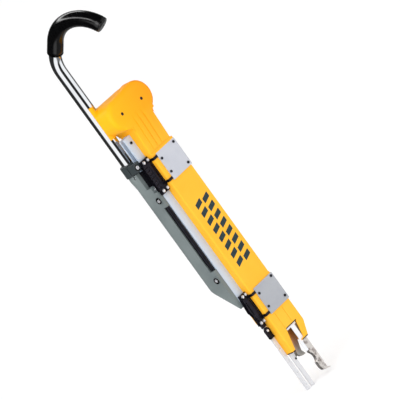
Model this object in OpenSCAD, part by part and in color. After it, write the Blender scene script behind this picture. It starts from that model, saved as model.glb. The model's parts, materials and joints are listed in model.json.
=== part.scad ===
// Stand-up rebar tying tool. A cane-shaped handle slides down a rail beside the
// housing; the stroke turns the twister spindle, swings the tie jaw and drives
// the feeder, which takes wire clips from the magazine. +X is to the right of
// the housing's front, +Y is to the back, +Z is up. The origin lies 39 mm in from
// the housing's left side, midway in its depth, level with the ends of the feet.

/* [Handle] */
// Outer diameter of the handle tube
tube_d = 29; // [27:1:29]
// Wall thickness of the handle tube
tube_wall = 2; // [1.5:0.5:3]
// Outer diameter of the rubber grip
grip_d = 37; // [34:1:38]
// Height at which the straight tube starts to bend
bend_z = 897; // [892:1:905]
// Radius of the bend below the grip
bend_r = 65; // [60:1:70]
// Angle of that bend, off the vertical
bend_angle = 43; // [40:1:45]
// Straight length between that bend and the crown
reach_len = 33; // [26:1:45]
// Radius of the crown on its rear side
crown_r_rear = 84; // [60:1:90]
// Radius of the crown on its front side
crown_r_front = 96; // [80:1:100]
// Angle through which the front side of the grip falls
crown_fall = 57; // [50:1:62]
// Direction of the hook, turned from the right towards the front
hook_turn = 83; // [60:1:90]

/* [Housing] */
// Width of the yellow housing
body_w = 80.5; // [79:0.5:80.5]
// Depth of the yellow housing
body_d = 50; // [48:1:50]
// Wall thickness of the moulded shells
wall = 3; // [2.5:0.5:3]
// Radius of the housing's vertical corners
corner_r = 4; // [3:0.5:5]
// Radius of the two lobes of the head
lobe_r = 37; // [35:1:38]
// Depth of the head
head_d = 60; // [56:1:60]

/* [Rail and carriage] */
// Width of the guide rail
rail_w = 23; // [22:1:24]
// Depth of the guide rail
rail_d = 18; // [18:0.5:18.5]
// Thickness of the rail's walls
rail_t = 2.5; // [2:0.5:3]
// Stroke of the handle down the rail
stroke = 70; // [50:5:70]
// Outer diameter of the return spring
spring_d = 8.6; // [8:0.2:8.6]
// Wire diameter of the return spring
spring_wire = 1.6; // [1.2:0.2:1.6]
// Number of turns of the return spring
spring_turns = 18; // [14:1:22]

/* [Fits] */
// Radial clearance of running fits
fit_gap = 0.06; // [0.03:0.01:0.1]
// Distance between faces that pass each other
pass_gap = 0.5; // [0.4:0.1:0.8]

/* [Hidden] */
$fn = 64;
big = 400;
tall = 1100;

// Housing outline
left_x = -39;
right_x = left_x + body_w;
flare_x = right_x + 1.5;
front_y = -body_d / 2;
back_y = body_d / 2;
seam_top_z = 596;
seam_low_z = 222;
flare_z = 262;
nose_end_z = 90;
nose_back_y = 13;
head_z = 749;
lobe_left_x = -41;
lobe_right_x = 30;
neck_right_x = right_x - 3.5;
ridge_z = 632;
drum_z = head_z - 3;
head_screw_places = [[lobe_left_x, head_z], [lobe_right_x, drum_z]];

// Handle tube and its hook
tube_r = tube_d / 2;
tube_x = -58;
tube_y = 36;
tube_low_z = 330;
tube_slot_z = [640, 670];
tube_slot_w = 4;
bend_end = [bend_r * (1 - cos(bend_angle)), bend_z + bend_r * sin(bend_angle)];
crown_start = bend_end + reach_len * [sin(bend_angle), cos(bend_angle)];
rear_centre = crown_start + crown_r_rear * [cos(bend_angle), -sin(bend_angle)];
front_centre = rear_centre + [0, crown_r_rear - crown_r_front];
fall_end = 90 - crown_fall;
grip_end = front_centre + crown_r_front * [cos(fall_end), sin(fall_end)];
tube_short = 6;
plug_in = 4;
hairline = 0.01;

// Rail
rail_left_x = left_x - rail_w;
rail_front_y = -5;
rail_back_y = rail_front_y + rail_d;
rail_top_z = 699;
rail_low_z = 244;
rail_slot_y = [rail_front_y + 3.5, rail_back_y - 3.5];
track_y = rail_front_y + rail_d / 2;
stop_screw = [-49, 683];
strip_x = [-53, -42];
strip_mid_x = (strip_x[0] + strip_x[1]) / 2;
strip_hole_pitch = 33;
strip_hole_z = 13.5;
strip_hole_r = 2.2;
strip_y = [rail_front_y, rail_front_y + 3];
strip_top_z = 240;
strip_screw_z = [200, 226];

// Carriage
carriage_top_z = 618;
carriage_tip_z = 239;
carriage_heel_z = 306;
carriage_right_x = rail_left_x - 0.4;
carriage_front_y = rail_front_y + 0.4;
socket_r = 16;
ring_flat_x = -42.2;
clamp_bolt_x = -74.5;
clamp_bolt_z = carriage_top_z + 14;
roller_z = [542, 322];
roller_r = rail_d / 2 - rail_t - fit_gap;
roller_pin_r = 3;
notch_z = [344, 522];
notch_y = 7;
spring_x = -67.6;
spring_y = 1;
seat_z = 347;
seat_t = 7;
plunger_z = 366;
sleeve_low_z = 362;
sleeve_r = 5.3;
sleeve_bore_r = 4.7;
rod_r = 2;
bolt_face_x = -71.5;

// Drive
spindle_x = -12;
spindle_y = 3.5;
spindle_r = 4;
arm_z = 551;
arm_t = 8;
arm_y = [0, 8];
nut_r = 9;
nut_h = 18;
slot_gap = 2;

// Magazine and jaws
channel_x = [0, 35];
channel_y = [-16, 16];
channel_z = [196, 690];
clip_low_z = 206;
clip_pitch = 9;
clip_count = 25;
clip_wire = 3;
follower_z = clip_low_z + clip_count * clip_pitch;
drum_r = 18;
jaw_pin_x = 6;
jaw_pin_z = 151;
jaw_y = [-9.4, -2.4];
hook_y = [-19, -10];
hook_pins = [[22, 118], [19, 170]];
pin_end_y = nose_back_y - 1.5;
feeder_y = [-21.6, -19.6];
throat_x = -6.6;
throat_z = 49.3;
throat_r = 18.4;
latch_z = 163;
latch_x = -49.5;

// Clamp plates: lowest height, highest height, right side of the housing there
plates = [[560, 632, right_x], [188, 258, flare_x]];
plate_t = 2;
strap_h = 6.4;
bolt_head_r = 3.9;
washer_r = 5.4;
upper_bolts = [[-60, 555.5], [-45.5, 555.5], [-60, 631.5], [-45.5, 631.5]];
lower_bolts = [[-55, 186.5], [-44.5, 186.5], [-55, 258.5], [-44.5, 258.5]];
plate_left_x = -27;
plate_screws = [
    [[-21, 579], [-21, 615], [34, 568], [34, 625]],
    [[-21, 205.5], [-21, 241.5], [36, 198], [36, 252]]
];

yellow = "#f9b01e";
silver = "#c6c8ce";
black = "#17171c";
grey = "#868e8e";
steel = "#bdb0ab";

// ---------------------------------------------------------------- helpers

// Rectangle with round corners between two corners of a plan
module round_rect(x, y, r) {
    translate([x[0] + r, y[0]]) square([x[1] - x[0] - 2 * r, y[1] - y[0]]);
    translate([x[0], y[0] + r]) square([x[1] - x[0], y[1] - y[0] - 2 * r]);
    for (cx = [x[0] + r, x[1] - r], cy = [y[0] + r, y[1] - r]) translate([cx, cy]) circle(r);
}

// Box between pairs of limits
module span(x, y, z) {
    translate([x[0], y[0], z[0]]) cube([x[1] - x[0], y[1] - y[0], z[1] - z[0]]);
}

// Extrudes an outline drawn in X and Z from the front limit to the back limit
module deep(y) {
    translate([0, y[1], 0]) rotate([90, 0, 0]) linear_extrude(y[1] - y[0]) children();
}

// Round bar along +X, +Y or +Z
module bar_x(x, y, z, r) {
    translate([x[0], y, z]) rotate([0, 90, 0]) cylinder(h = x[1] - x[0], r = r);
}
module bar_y(x, y, z, r) {
    translate([x, y[1], z]) rotate([90, 0, 0]) cylinder(h = y[1] - y[0], r = r);
}
module bar_z(x, y, z, r) {
    translate([x, y, z[0]]) cylinder(h = z[1] - z[0], r = r);
}

// Extrudes an outline drawn in Y and Z from the left limit to the right limit
module wide(x) {
    translate([x[0], 0, 0]) rotate([90, 0, 90]) linear_extrude(x[1] - x[0]) children();
}

// Keeps the front or the back half of the housing's shells
module front_half() {
    intersection() {
        children();
        translate([-big / 2, -big, -10]) cube([big, big, tall]);
    }
}
module back_half() {
    intersection() {
        children();
        translate([-big / 2, 0, -10]) cube([big, big, tall]);
    }
}

// ---------------------------------------------------------------- handle

// Places children in the plane of the hook: +X along its reach, Z up
module in_hook_plane() {
    translate([tube_x, tube_y, 0]) rotate([0, 0, -hook_turn]) children();
}

// Pipe bent about a centre in the hook plane, between two angles. Neighbouring
// stretches stop a hairline apart, so that each stays one exact solid.
module hook_arc(centre, bend, low, high, r, bore) {
    from = low + hairline;
    to = high - hairline;
    translate([centre[0], 0, centre[1]]) rotate([90, 0, 0]) rotate([0, 0, from])
        rotate_extrude(angle = to - from, $fn = 128) translate([bend, 0]) difference() {
            circle(r);
            circle(bore);
        }
}

// Straight pipe in the hook plane
module hook_bar(at, tilt, length, r, bore) {
    translate([at[0], 0, at[1]]) rotate([0, tilt, 0]) difference() {
        cylinder(h = length, r = r);
        translate([0, 0, -1]) cylinder(h = length + 2, r = bore);
    }
}

// The grip's run: straight reach, rear side of the crown, front side
module grip_run(r, bore, shorten) {
    hook_bar(bend_end, bend_angle, reach_len, r, bore);
    hook_arc(rear_centre, crown_r_rear, 90, 180 - bend_angle, r, bore);
    hook_arc(front_centre, crown_r_front, fall_end + shorten, 90, r, bore);
}

module handle_tube() {
    bore = tube_r - tube_wall;
    color("silver") {
        difference() {
            in_hook_plane() hook_bar([0, tube_low_z], 0, bend_z - tube_low_z, tube_r, bore);
            span([tube_x - tube_slot_w / 2, tube_x + tube_slot_w / 2],
                [tube_y - tube_r - 1, tube_y - bore / 2], tube_slot_z);
        }
        in_hook_plane() {
            hook_arc([bend_r, bend_z], bend_r, 180 - bend_angle, 180, tube_r, bore);
            grip_run(tube_r, bore, tube_short);
        }
    }
}

module grip_sleeve() {
    color(black) in_hook_plane() grip_run(grip_d / 2, tube_r, 0);
}

// Rounded plug pushed into the open end of the grip
module grip_end_plug() {
    color("#2a2a30") in_hook_plane() translate([grip_end[0], 0, grip_end[1]])
        rotate([0, 90 + crown_fall, 0]) {
            translate([0, 0, -plug_in]) cylinder(h = plug_in, r = tube_r);
            intersection() {
                cylinder(h = 4, r = grip_d / 2 - 0.5);
                translate([0, 0, -38]) sphere(r = 42, $fn = 96);
            }
        }
}

// Split ring that pinches the tube on top of the carriage
module tube_clamp() {
    ear_z = [carriage_top_z + 4, carriage_top_z + 25];
    through = [carriage_top_z - 1, carriage_top_z + 30];
    color("#4a4f58") difference() {
        union() {
            bar_z(tube_x, tube_y, [carriage_top_z, carriage_top_z + 28], 21);
            span([-80, carriage_right_x], [-3, tube_y], ear_z);
        }
        bar_z(tube_x, tube_y, through, tube_r);
        span([-90, tube_x], [20.5, 23], through);
        bar_y(clamp_bolt_x, [-10, 31], clamp_bolt_z, 2.5);
        bar_y(clamp_bolt_x, [-10, -2], clamp_bolt_z, 6);
        span([ring_flat_x, 0], [0, 80], through);
        span([carriage_right_x, 0], [-10, rail_back_y + 0.4], [carriage_top_z - 1, 700]);
    }
}

module tube_clamp_bolt() {
    color("silver") difference() {
        union() {
            bar_y(clamp_bolt_x, [-2, 31], clamp_bolt_z, 2.5);
            bar_y(clamp_bolt_x, [-5, -2], clamp_bolt_z, 4.4);
        }
        translate([clamp_bolt_x, -3, clamp_bolt_z]) rotate([90, 0, 0]) cylinder(h = 3, r = 2.4, $fn = 6);
    }
}

// Plan of the carriage: a flat cheek beside the rail that runs into the tube socket
module carriage_plan() {
    polygon([[-72, carriage_front_y], [carriage_right_x, carriage_front_y],
        [carriage_right_x, rail_back_y + 0.5], [-48, 24], [tube_x, tube_y],
        [tube_x - socket_r + 0.1, tube_y - 2]]);
    translate([tube_x, tube_y]) circle(socket_r);
}

// Everything below the slanted lower end of the carriage
module carriage_slant() {
    rise = carriage_heel_z - carriage_tip_z;
    run = tube_y + 8 - carriage_front_y;
    translate([-big / 2, carriage_front_y, carriage_tip_z]) rotate([atan(rise / run), 0, 0])
        translate([0, -big / 2, -big]) cube([big, big, big]);
}

module carriage_casting() {
    color(grey) difference() {
        union() {
            translate([0, 0, carriage_tip_z]) linear_extrude(carriage_top_z - carriage_tip_z)
                carriage_plan();
            translate([tube_x, tube_y, carriage_top_z - 34]) cylinder(h = 22, r1 = socket_r, r2 = 18.5);
            bar_z(tube_x, tube_y, [carriage_top_z - 12, carriage_top_z], 18.5);
            for (z = roller_z) bar_x([bolt_face_x - 3, -66], track_y, z, 8.2);
        }
        carriage_slant();
        span([ring_flat_x, 0], [0, 80], [500, carriage_top_z + 1]);
        bar_z(tube_x, tube_y, [tube_low_z, carriage_top_z + 1], tube_r);
        span([-90, -50], [-10, notch_y], notch_z);
        span([-90, carriage_right_x + 1], [-10, 4], [562, carriage_top_z + 1]);
        span([-90, -30], [-10, 17], [576, carriage_top_z + 1]);
        span([rail_left_x - 0.4, -30], [-20, rail_back_y + 0.5], [200, carriage_top_z + 1]);
        bar_z(spring_x, spring_y, [notch_z[0] - 8, notch_z[1] + 8], rod_r);
        for (z = roller_z) {
            bar_x([-90, -50], track_y, z, roller_pin_r);
            bar_x([-90, bolt_face_x], track_y, z, 6.4);
        }
        translate([tube_x, tube_y, carriage_top_z - 8]) rotate([0, 0, 210]) {
            translate([0, -1.2, 0]) cube([30, 2.4, 10]);
            rotate([0, 90, 0]) cylinder(h = 30, r = 2.2);
        }
        bar_x([carriage_right_x - 4, -50], track_y, arm_z + arm_t / 2 + 12, 1.6);
    }
}

// Shoulder bolts that carry the guide rollers inside the rail
module roller_bolts() {
    color("silver") for (z = roller_z) difference() {
        union() {
            bar_x([bolt_face_x, -46.9], track_y, z, roller_pin_r);
            bar_x([bolt_face_x - 4.5, bolt_face_x], track_y, z, 4);
            bar_x([-46.9, -44.9], track_y, z, 4.6);
        }
        translate([bolt_face_x - 5.5, track_y, z]) rotate([0, 90, 0])
            cylinder(h = 3.4, r = 2.2, $fn = 6);
    }
}

module guide_roller(z) {
    color("#3a3a3f") difference() {
        bar_x([rail_left_x + rail_t + 0.3, -47.3], track_y, z, roller_r);
        bar_x([rail_left_x, -46], track_y, z, roller_pin_r + fit_gap);
    }
}
module guide_roller_upper() { guide_roller(roller_z[0]); }
module guide_roller_lower() { guide_roller(roller_z[1]); }

module spring_rod() {
    color("#303038") bar_z(spring_x, spring_y, [notch_z[0] - 8, notch_z[1] + 8], rod_r);
}

// Telescopic cover of the spring. A slot towards the rail lets the seat's arm in
module spring_sleeve() {
    color(black) difference() {
        bar_z(spring_x, spring_y, [sleeve_low_z, notch_z[1]], sleeve_r);
        bar_z(spring_x, spring_y, [sleeve_low_z - 1, notch_z[1] + 1], sleeve_bore_r);
        span([spring_x, rail_left_x], [-1.5, notch_y], [sleeve_low_z - 1, seat_z + seat_t + stroke + 2]);
    }
}

// Compression spring between the rail's seat and the top of the notch
function coil_point(a, r, low, rise) =
    [spring_x + r * cos(a), spring_y + r * sin(a), low + rise * a / (360 * spring_turns)];
module return_spring() {
    steps = 12;
    sides = 5;
    mean_r = (spring_d - spring_wire) / 2;
    low = plunger_z + spring_wire / 2;
    rise = notch_z[1] - spring_wire / 2 - low;
    count = steps * spring_turns;
    ring_r = spring_wire / 2;
    pts = [for (i = [0:count], k = [0:sides - 1])
        let (a = i * 360 / steps, b = k * 360 / sides)
            coil_point(a, mean_r + ring_r * cos(b), low, rise) + [0, 0, ring_r * sin(b)]];
    sides_faces = [for (i = [0:count - 1], k = [0:sides - 1])
        let (n = (k + 1) % sides)
            [i * sides + k, i * sides + n, (i + 1) * sides + n, (i + 1) * sides + k]];
    low_cap = [[for (k = [sides - 1:-1:0]) k]];
    high_cap = [[for (k = [0:sides - 1]) count * sides + k]];
    color("#202028") polyhedron(pts, concat(sides_faces, low_cap, high_cap), convexity = 10);
}

// Arm that reaches from the carriage through the rail and the housing's side
module drive_arm() {
    color("#8d9096") difference() {
        union() {
            span([carriage_right_x, spindle_x], arm_y, [arm_z, arm_z + arm_t]);
            span([carriage_right_x, carriage_right_x + 4], [-0.5, 8.5], [arm_z, arm_z + 22]);
        }
        bar_z(spindle_x, spindle_y, [arm_z - 1, arm_z + arm_t + 1], nut_r);
        bar_x([-70, -50], track_y, arm_z + arm_t / 2 + 12, 1.6);
    }
}

module drive_arm_screws() {
    color("silver") {
        bar_x([carriage_right_x - 4, -58], track_y, arm_z + arm_t / 2 + 12, 1.6);
        bar_x([-58, -55.5], track_y, arm_z + arm_t / 2 + 12, 3.2);
    }
}

module drive_nut() {
    mid = arm_z + arm_t / 2;
    color("#b08d3c") difference() {
        union() {
            bar_z(spindle_x, spindle_y, [arm_z, arm_z + arm_t], nut_r);
            bar_z(spindle_x, spindle_y, [mid - nut_h / 2, arm_z], nut_r - 1);
            bar_z(spindle_x, spindle_y, [arm_z + arm_t, mid + nut_h / 2], nut_r - 1);
        }
        bar_z(spindle_x, spindle_y, [mid - nut_h, mid + nut_h], spindle_r + 0.4);
    }
}

// ---------------------------------------------------------------- housing shells

// Sector about the tube's axis in which the head leaves the tube uncovered
module open_sector(from, to, reach) {
    steps = 5;
    points = [for (i = [0:steps]) let (a = from + (to - from) * i / steps) reach * [cos(a), sin(a)]];
    translate([tube_x, tube_y]) polygon(concat([[0, 0]], points));
}

module head_outline(r) {
    for (x = [lobe_left_x, lobe_right_x]) translate([x, head_z]) circle(r, $fn = 128);
    translate([lobe_left_x, head_z - r]) square([lobe_right_x - lobe_left_x, 2 * r]);
}

// Outline of the front shell's lobes, fuller to the right; inset moves it inwards
module front_outline(inset) {
    left = [lobe_left_x, head_z];
    left_r = lobe_r - inset;
    right = [lobe_right_x + 1, head_z + 2];
    right_r = lobe_r + 2.5 - inset;
    lean = atan2(right[1] - left[1], right[0] - left[0]);
    flare = asin((right_r - left_r) / norm(right - left));
    up = [-sin(lean + flare), cos(lean + flare)];
    down = [sin(lean - flare), -cos(lean - flare)];
    translate(left) circle(left_r, $fn = 128);
    translate(right) circle(right_r, $fn = 128);
    polygon([left + left_r * up, right + right_r * up, right + right_r * down, left + left_r * down]);
}

module head_cavity() {
    deep([-head_d / 2 + wall, -3]) front_outline(wall);
    deep([-head_d / 2 + wall, head_d / 2 - wall]) head_outline(lobe_r - wall);
    translate([0, 0, seam_top_z - 1]) linear_extrude(head_z - seam_top_z)
        round_rect([left_x + wall, neck_right_x - wall], [front_y + wall, back_y - wall], 1.5);
}

// Plan of the neck at a given depth, as a thin slice
module neck_slice(depth) {
    linear_extrude(0.5, $fn = 32) round_rect([left_x, neck_right_x], [-depth / 2, depth / 2], corner_r);
}

// Concave corner between the neck's side and the underside of a lobe
module lobe_fillet(side_x, reach, z, r) {
    far_x = side_x + reach;
    deep([-head_d / 2, head_d / 2]) difference() {
        translate([min(side_x, far_x), z]) square([abs(reach), r]);
        translate([side_x + sign(reach) * r, z]) circle(r);
    }
}

module head_body() {
    difference() {
        union() {
            deep([-head_d / 2, -0.5]) front_outline(0);
            deep([-1, head_d / 2]) head_outline(lobe_r);
            lobe_fillet(left_x, -13, rail_top_z + 1, 14);
            lobe_fillet(neck_right_x, 5.5, 706, 10);
            hull() {
                translate([0, 0, ridge_z + 8]) neck_slice(body_d);
                translate([0, 0, head_z - lobe_r]) neck_slice(head_d);
            }
            translate([0, 0, seam_top_z]) linear_extrude(head_z - seam_top_z)
                round_rect([left_x, neck_right_x], [front_y, back_y], corner_r);
            translate([0, 0, seam_top_z]) linear_extrude(ridge_z + 5 - seam_top_z)
                round_rect([left_x, right_x], [front_y, back_y], corner_r);
            translate([0, 0, ridge_z]) linear_extrude(5)
                round_rect([left_x, right_x + 1], [front_y - 1.5, back_y + 1.5], corner_r);
            for (x = [-16, -0.5, 15]) wide([x - 6, x + 6]) polygon([[0, ridge_z + 9],
                [front_y - 1.6, ridge_z + 9], [-head_d / 2 - 1.4, head_z - lobe_r],
                [-head_d / 2, head_z - 12], [0, head_z - 12]]);
        }
        difference() {
            head_cavity();
            translate([2.5, -2.1, 600]) linear_extrude(big) open_sector(95, 230, 90);
        }
        translate([0, 0, 600]) linear_extrude(big) open_sector(95, 230, 90);
    }
}

// Saddle that wraps three sides of the tube, with a short collar on top
module tube_saddle() {
    translate([0, 0, head_z - lobe_r]) linear_extrude(2 * lobe_r) difference() {
        translate([tube_x, tube_y]) circle(19);
        open_sector(95, 230, 90);
    }
    translate([0, 0, head_z + lobe_r]) linear_extrude(12) intersection() {
        translate([tube_x, tube_y]) circle(19);
        open_sector(230, 262, 90);
    }
}

module screw_bosses(y) {
    for (p = head_screw_places) bar_y(p[0], y, p[1], 5);
}

module head_front_shell() {
    color(yellow) front_half() difference() {
        union() {
            head_body();
            screw_bosses([-head_d / 2 + 1, 0]);
        }
        for (p = head_screw_places) {
            bar_y(p[0], [-40, 10], p[1], 2);
            bar_y(p[0], [-40, -head_d / 2 + 2.5], p[1], 4);
        }
    }
}

module head_back_shell() {
    color(yellow) back_half() difference() {
        union() {
            head_body();
            tube_saddle();
            screw_bosses([0, head_d / 2 - 1]);
        }
        bar_z(tube_x, tube_y, [600, 900], tube_r + 2);
        for (p = head_screw_places) bar_y(p[0], [-10, 12], p[1], 2);
    }
}

// Slit in the left wall through which the drive arm passes
module arm_slit() {
    span([left_x - 10, left_x + wall + 1], [arm_y[0] - slot_gap, arm_y[1] + slot_gap],
        [arm_z - stroke - slot_gap, arm_z + arm_t + slot_gap]);
}

module main_body() {
    difference() {
        union() {
            translate([0, 0, seam_low_z]) linear_extrude(seam_top_z - seam_low_z)
                round_rect([left_x, right_x], [front_y, back_y], corner_r);
            translate([0, 0, seam_low_z]) linear_extrude(flare_z - seam_low_z)
                round_rect([left_x, flare_x], [front_y, back_y], corner_r);
        }
        translate([0, 0, seam_low_z - 1]) linear_extrude(seam_top_z - seam_low_z + 2)
            round_rect([left_x + wall, right_x - wall], [front_y + wall, back_y - wall], 1.5);
        arm_slit();
    }
}

module main_front_cover() { color(yellow) front_half() main_body(); }
module main_back_cover() { color(yellow) back_half() main_body(); }

// Opening between the two prongs of the nose, cut through front and back walls
module nose_window() {
    polygon([[-16, 140], [22, 140], [13, 100.5], [4, 99], [4, 80], [-34, 80], [-30.5, 91]]);
}

module nose_body() {
    difference() {
        intersection() {
            translate([0, 0, nose_end_z]) linear_extrude(seam_low_z - nose_end_z)
                round_rect([left_x, flare_x], [front_y, back_y], corner_r);
            deep([front_y - 1, back_y + 1]) polygon([[-50, 240], [60, 240], [60, 134],
                [flare_x, 134], [25, 96], [4, 96], [0, nose_end_z], [-50, nose_end_z]]);
            wide([-60, 60]) polygon([[-30, 60], [-30, 240], [back_y, 240], [back_y, 186],
                [nose_back_y, 174], [nose_back_y, 60]]);
        }
        intersection() {
            span([left_x + wall, flare_x - wall], [front_y + wall, back_y - wall], [60, 240]);
            deep([-60, 60]) polygon([[-50, 240], [flare_x - wall, 240], [flare_x - wall, 130.8],
                [16.5, 80], [-50, 80]]);
            wide([-60, 60]) polygon([[-30, 60], [-30, 240], [back_y - wall, 240],
                [back_y - wall, 187.2], [nose_back_y - wall, 175.2], [nose_back_y - wall, 60]]);
        }
        deep([-60, 60]) nose_window();
        for (x = [-17.2, 10.4]) span([x - 0.9, x + 0.9], [front_y - 1, front_y + 1], [143, 184]);
    }
}

module nose_front_shell() {
    color(yellow) difference() {
        union() {
            front_half() nose_body();
            for (x = [-17, -3.5]) span([x, x + 1.5], [front_y + wall, feeder_y[1]], [145, 218]);
            bar_y(jaw_pin_x, [front_y + wall, feeder_y[0]], jaw_pin_z, 5);
        }
        bar_y(jaw_pin_x, [-23.5, 0], jaw_pin_z, 2.5);
    }
}

module nose_back_shell() {
    color(yellow) difference() {
        back_half() nose_body();
        bar_y(jaw_pin_x, [-10, pin_end_y], jaw_pin_z, 2.5);
        for (p = hook_pins) bar_y(p[0], [-10, pin_end_y], p[1], 2);
    }
}

// Liner of the saddle, in which the tube slides
module tube_bush() {
    color("#e0b13c") translate([0, 0, head_z - lobe_r]) linear_extrude(2 * lobe_r) difference() {
        translate([tube_x, tube_y]) circle(tube_r + 2);
        translate([tube_x, tube_y]) circle(tube_r + fit_gap);
        open_sector(95, 230, 90);
    }
}

module head_screws() {
    color("#2c1c18") for (p = head_screw_places) difference() {
        union() {
            bar_y(p[0], [-head_d / 2 + 2.5, 12], p[1], 2);
            bar_y(p[0], [-head_d / 2 + 0.2, -head_d / 2 + 2.5], p[1], 3.8);
        }
        translate([p[0], -head_d / 2 + 1.6, p[1]]) rotate([90, 0, 0]) cylinder(h = 3, r = 2, $fn = 6);
    }
}

// ---------------------------------------------------------------- rail and brackets

module guide_rail() {
    color("#e4e4ec") difference() {
        span([rail_left_x, left_x], [rail_front_y, rail_back_y], [rail_low_z, rail_top_z]);
        span([rail_left_x + rail_t, left_x - rail_t],
            [rail_front_y + rail_t, rail_back_y - rail_t], [rail_low_z - 1, rail_top_z + 1]);
        span([rail_left_x - 1, rail_left_x + rail_t + 1], rail_slot_y,
            [rail_low_z - 1, rail_top_z + 1]);
        arm_slit();
        bar_y(stop_screw[0], [-10, 0], stop_screw[1], 2);
    }
}

module rail_stop_screw() {
    color("#3c3c44") {
        bar_y(stop_screw[0], [rail_front_y, 3], stop_screw[1], 2);
        bar_y(stop_screw[0], [rail_front_y - 2, rail_front_y], stop_screw[1], 3.4);
    }
}

// Perforated strip that carries the rail down to the ground
module foot_strip() {
    color("#e4e4ec") difference() {
        union() {
            span(strip_x, strip_y, [4, strip_top_z]);
            intersection() {
                span(strip_x, strip_y, [0, 5]);
                deep([-10, 10]) polygon([[strip_x[0], 2], [strip_x[1], 0], [strip_x[1], 6],
                    [strip_x[0], 6]]);
            }
        }
        for (i = [0:3]) bar_y(strip_mid_x, [-10, 10], strip_hole_z + i * strip_hole_pitch, strip_hole_r);
        bar_y(latch_x, [-10, 10], latch_z, 2);
        for (z = strip_screw_z) bar_y(strip_mid_x, [-10, 10], z, 2);
    }
}

module foot_strip_screws() {
    color("silver") for (z = strip_screw_z) {
        bar_y(strip_mid_x, [rail_front_y - 4, strip_y[1]], z, 2);
        bar_y(strip_mid_x, [strip_y[1], strip_y[1] + 2], z, 3.6);
    }
}

// Straps from a bracket round the housing's corners to the clamp plate
module bracket_arms(front_heights, back_heights) {
    for (z = front_heights) {
        band = [z - strap_h / 2, z + strap_h / 2];
        span([left_x - plate_t, plate_left_x], [front_y - plate_t, front_y], band);
        span([left_x - plate_t, left_x], [front_y - plate_t, -13], band);
    }
    for (z = back_heights) {
        band = [z - strap_h / 2, z + strap_h / 2];
        span([left_x - plate_t, plate_left_x], [back_y, back_y + plate_t], band);
        span([left_x - plate_t, left_x], [rail_back_y, back_y + plate_t], band);
    }
}

// Room for the washers and bolt heads that stand on a bracket's thin ends
module bolt_room(places) {
    for (p = places) {
        bar_y(p[0], [-20, 0], p[1], 1.8);
        bar_y(p[0], [-20, -11], p[1], washer_r + 0.3);
    }
}

module upper_bracket() {
    color(black) difference() {
        union() {
            span([-59, left_x], [-14, rail_front_y], [560, 627]);
            span([-69, left_x], [-14, rail_front_y - 0.4], [560, 627]);
            span([-66, left_x], [-11, rail_front_y - 0.4], [549, 638]);
            span([-61, left_x], [-11, rail_front_y], [549, 638]);
            bracket_arms([567, 626], [567, 626]);
        }
        span([-55.5, -43.8], [-15, -12], [572, 618]);
        for (z = [566, 575, 584, 593, 602, 611, 620]) bar_x([-70, -58], -15.2, z, 2.6);
        bolt_room(upper_bolts);
    }
}

module lower_bracket() {
    color(black) difference() {
        union() {
            deep([-15.5, rail_front_y]) polygon([[left_x, 190], [-55, 190], [-65, 222], [-62, 254],
                [left_x, 254]]);
            span([-61, left_x], [-11, rail_front_y], [182, 264]);
            span([-57.5, -42], [-9, rail_front_y], [173, 183]);
            bracket_arms([195, 250], [240, 250]);
        }
        span([-62, -58], [-17, -13.8], [208, 244]);
        span([-51, -44], [-17, -13.8], [202, 244]);
        for (z = strip_screw_z) bar_y(strip_mid_x, [rail_front_y - 4, 0], z, 2);
        bolt_room(lower_bolts);
    }
}

module bracket_bolts() {
    color("silver") for (p = concat(upper_bolts, lower_bolts)) {
        bar_y(p[0], [-13.2, rail_front_y], p[1], 1.8);
        translate([p[0], -13, p[1]]) rotate([90, 0, 0]) intersection() {
            cylinder(h = 3.2, r = bolt_head_r);
            translate([0, 0, -3]) sphere(r = 6.4, $fn = 48);
        }
    }
}

module bracket_washers() {
    color(black) for (p = concat(upper_bolts, lower_bolts)) difference() {
        bar_y(p[0], [-13, -11], p[1], washer_r);
        bar_y(p[0], [-20, 0], p[1], 1.8);
    }
}

// Bent strap round the front, right side and back of the housing
module clamp_plate(spec, screws) {
    right = spec[2];
    z = [spec[0], spec[1]];
    color(silver) difference() {
        union() {
            span([plate_left_x, right + plate_t - 3], [front_y - plate_t, front_y], z);
            span([right, right + plate_t], [front_y - plate_t + 3, back_y + plate_t - 3], z);
            span([plate_left_x, right + plate_t - 3], [back_y, back_y + plate_t], z);
            for (y = [front_y - plate_t + 3, back_y + plate_t - 3])
                bar_z(right + plate_t - 3, y, z, 3);
        }
        span([right - 20, right], [front_y, back_y], [z[0] - 1, z[1] + 1]);
        for (p = screws) bar_y(p[0], [-40, 40], p[1], 1.8);
    }
}

module upper_clamp_plate() { clamp_plate(plates[0], plate_screws[0]); }
module lower_clamp_plate() { clamp_plate(plates[1], plate_screws[1]); }

module clamp_plate_screws() {
    color("#2a2a36") for (group = plate_screws, p = group, side = [-1, 1])
        translate([p[0], side * (back_y + plate_t), p[1]]) rotate([side * -90, 0, 0])
            difference() {
                union() {
                    translate([0, 0, -plate_t]) cylinder(h = plate_t, r = 1.8);
                    cylinder(h = 1.6, r = 3.2);
                }
                translate([0, 0, 0.8]) cylinder(h = 2, r = 1.6, $fn = 6);
            }
}

// ---------------------------------------------------------------- magazine

module magazine_channel() {
    color("#b8bcc4") difference() {
        span(channel_x, channel_y, channel_z);
        span([channel_x[0] + 1.5, channel_x[1] - 1.5], [channel_y[0] + 1.5, channel_y[1] + 5],
            [channel_z[0] - 1, channel_z[1] + 1]);
    }
}

// Row of U-shaped wire clips, open at the back
module wire_clips() {
    clip_w = channel_x[1] - channel_x[0] - 3;
    color("#8f8f96") for (i = [0:clip_count - 1])
        translate([0, 0, clip_low_z + i * clip_pitch]) linear_extrude(clip_wire) difference() {
            translate([channel_x[0] + 1.5, channel_y[0] + 1.5]) square([clip_w, 25.5]);
            translate([channel_x[0] + 1.5 + clip_wire, channel_y[0] + 1.5 + clip_wire])
                square([clip_w - 2 * clip_wire, 30]);
        }
}

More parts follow.
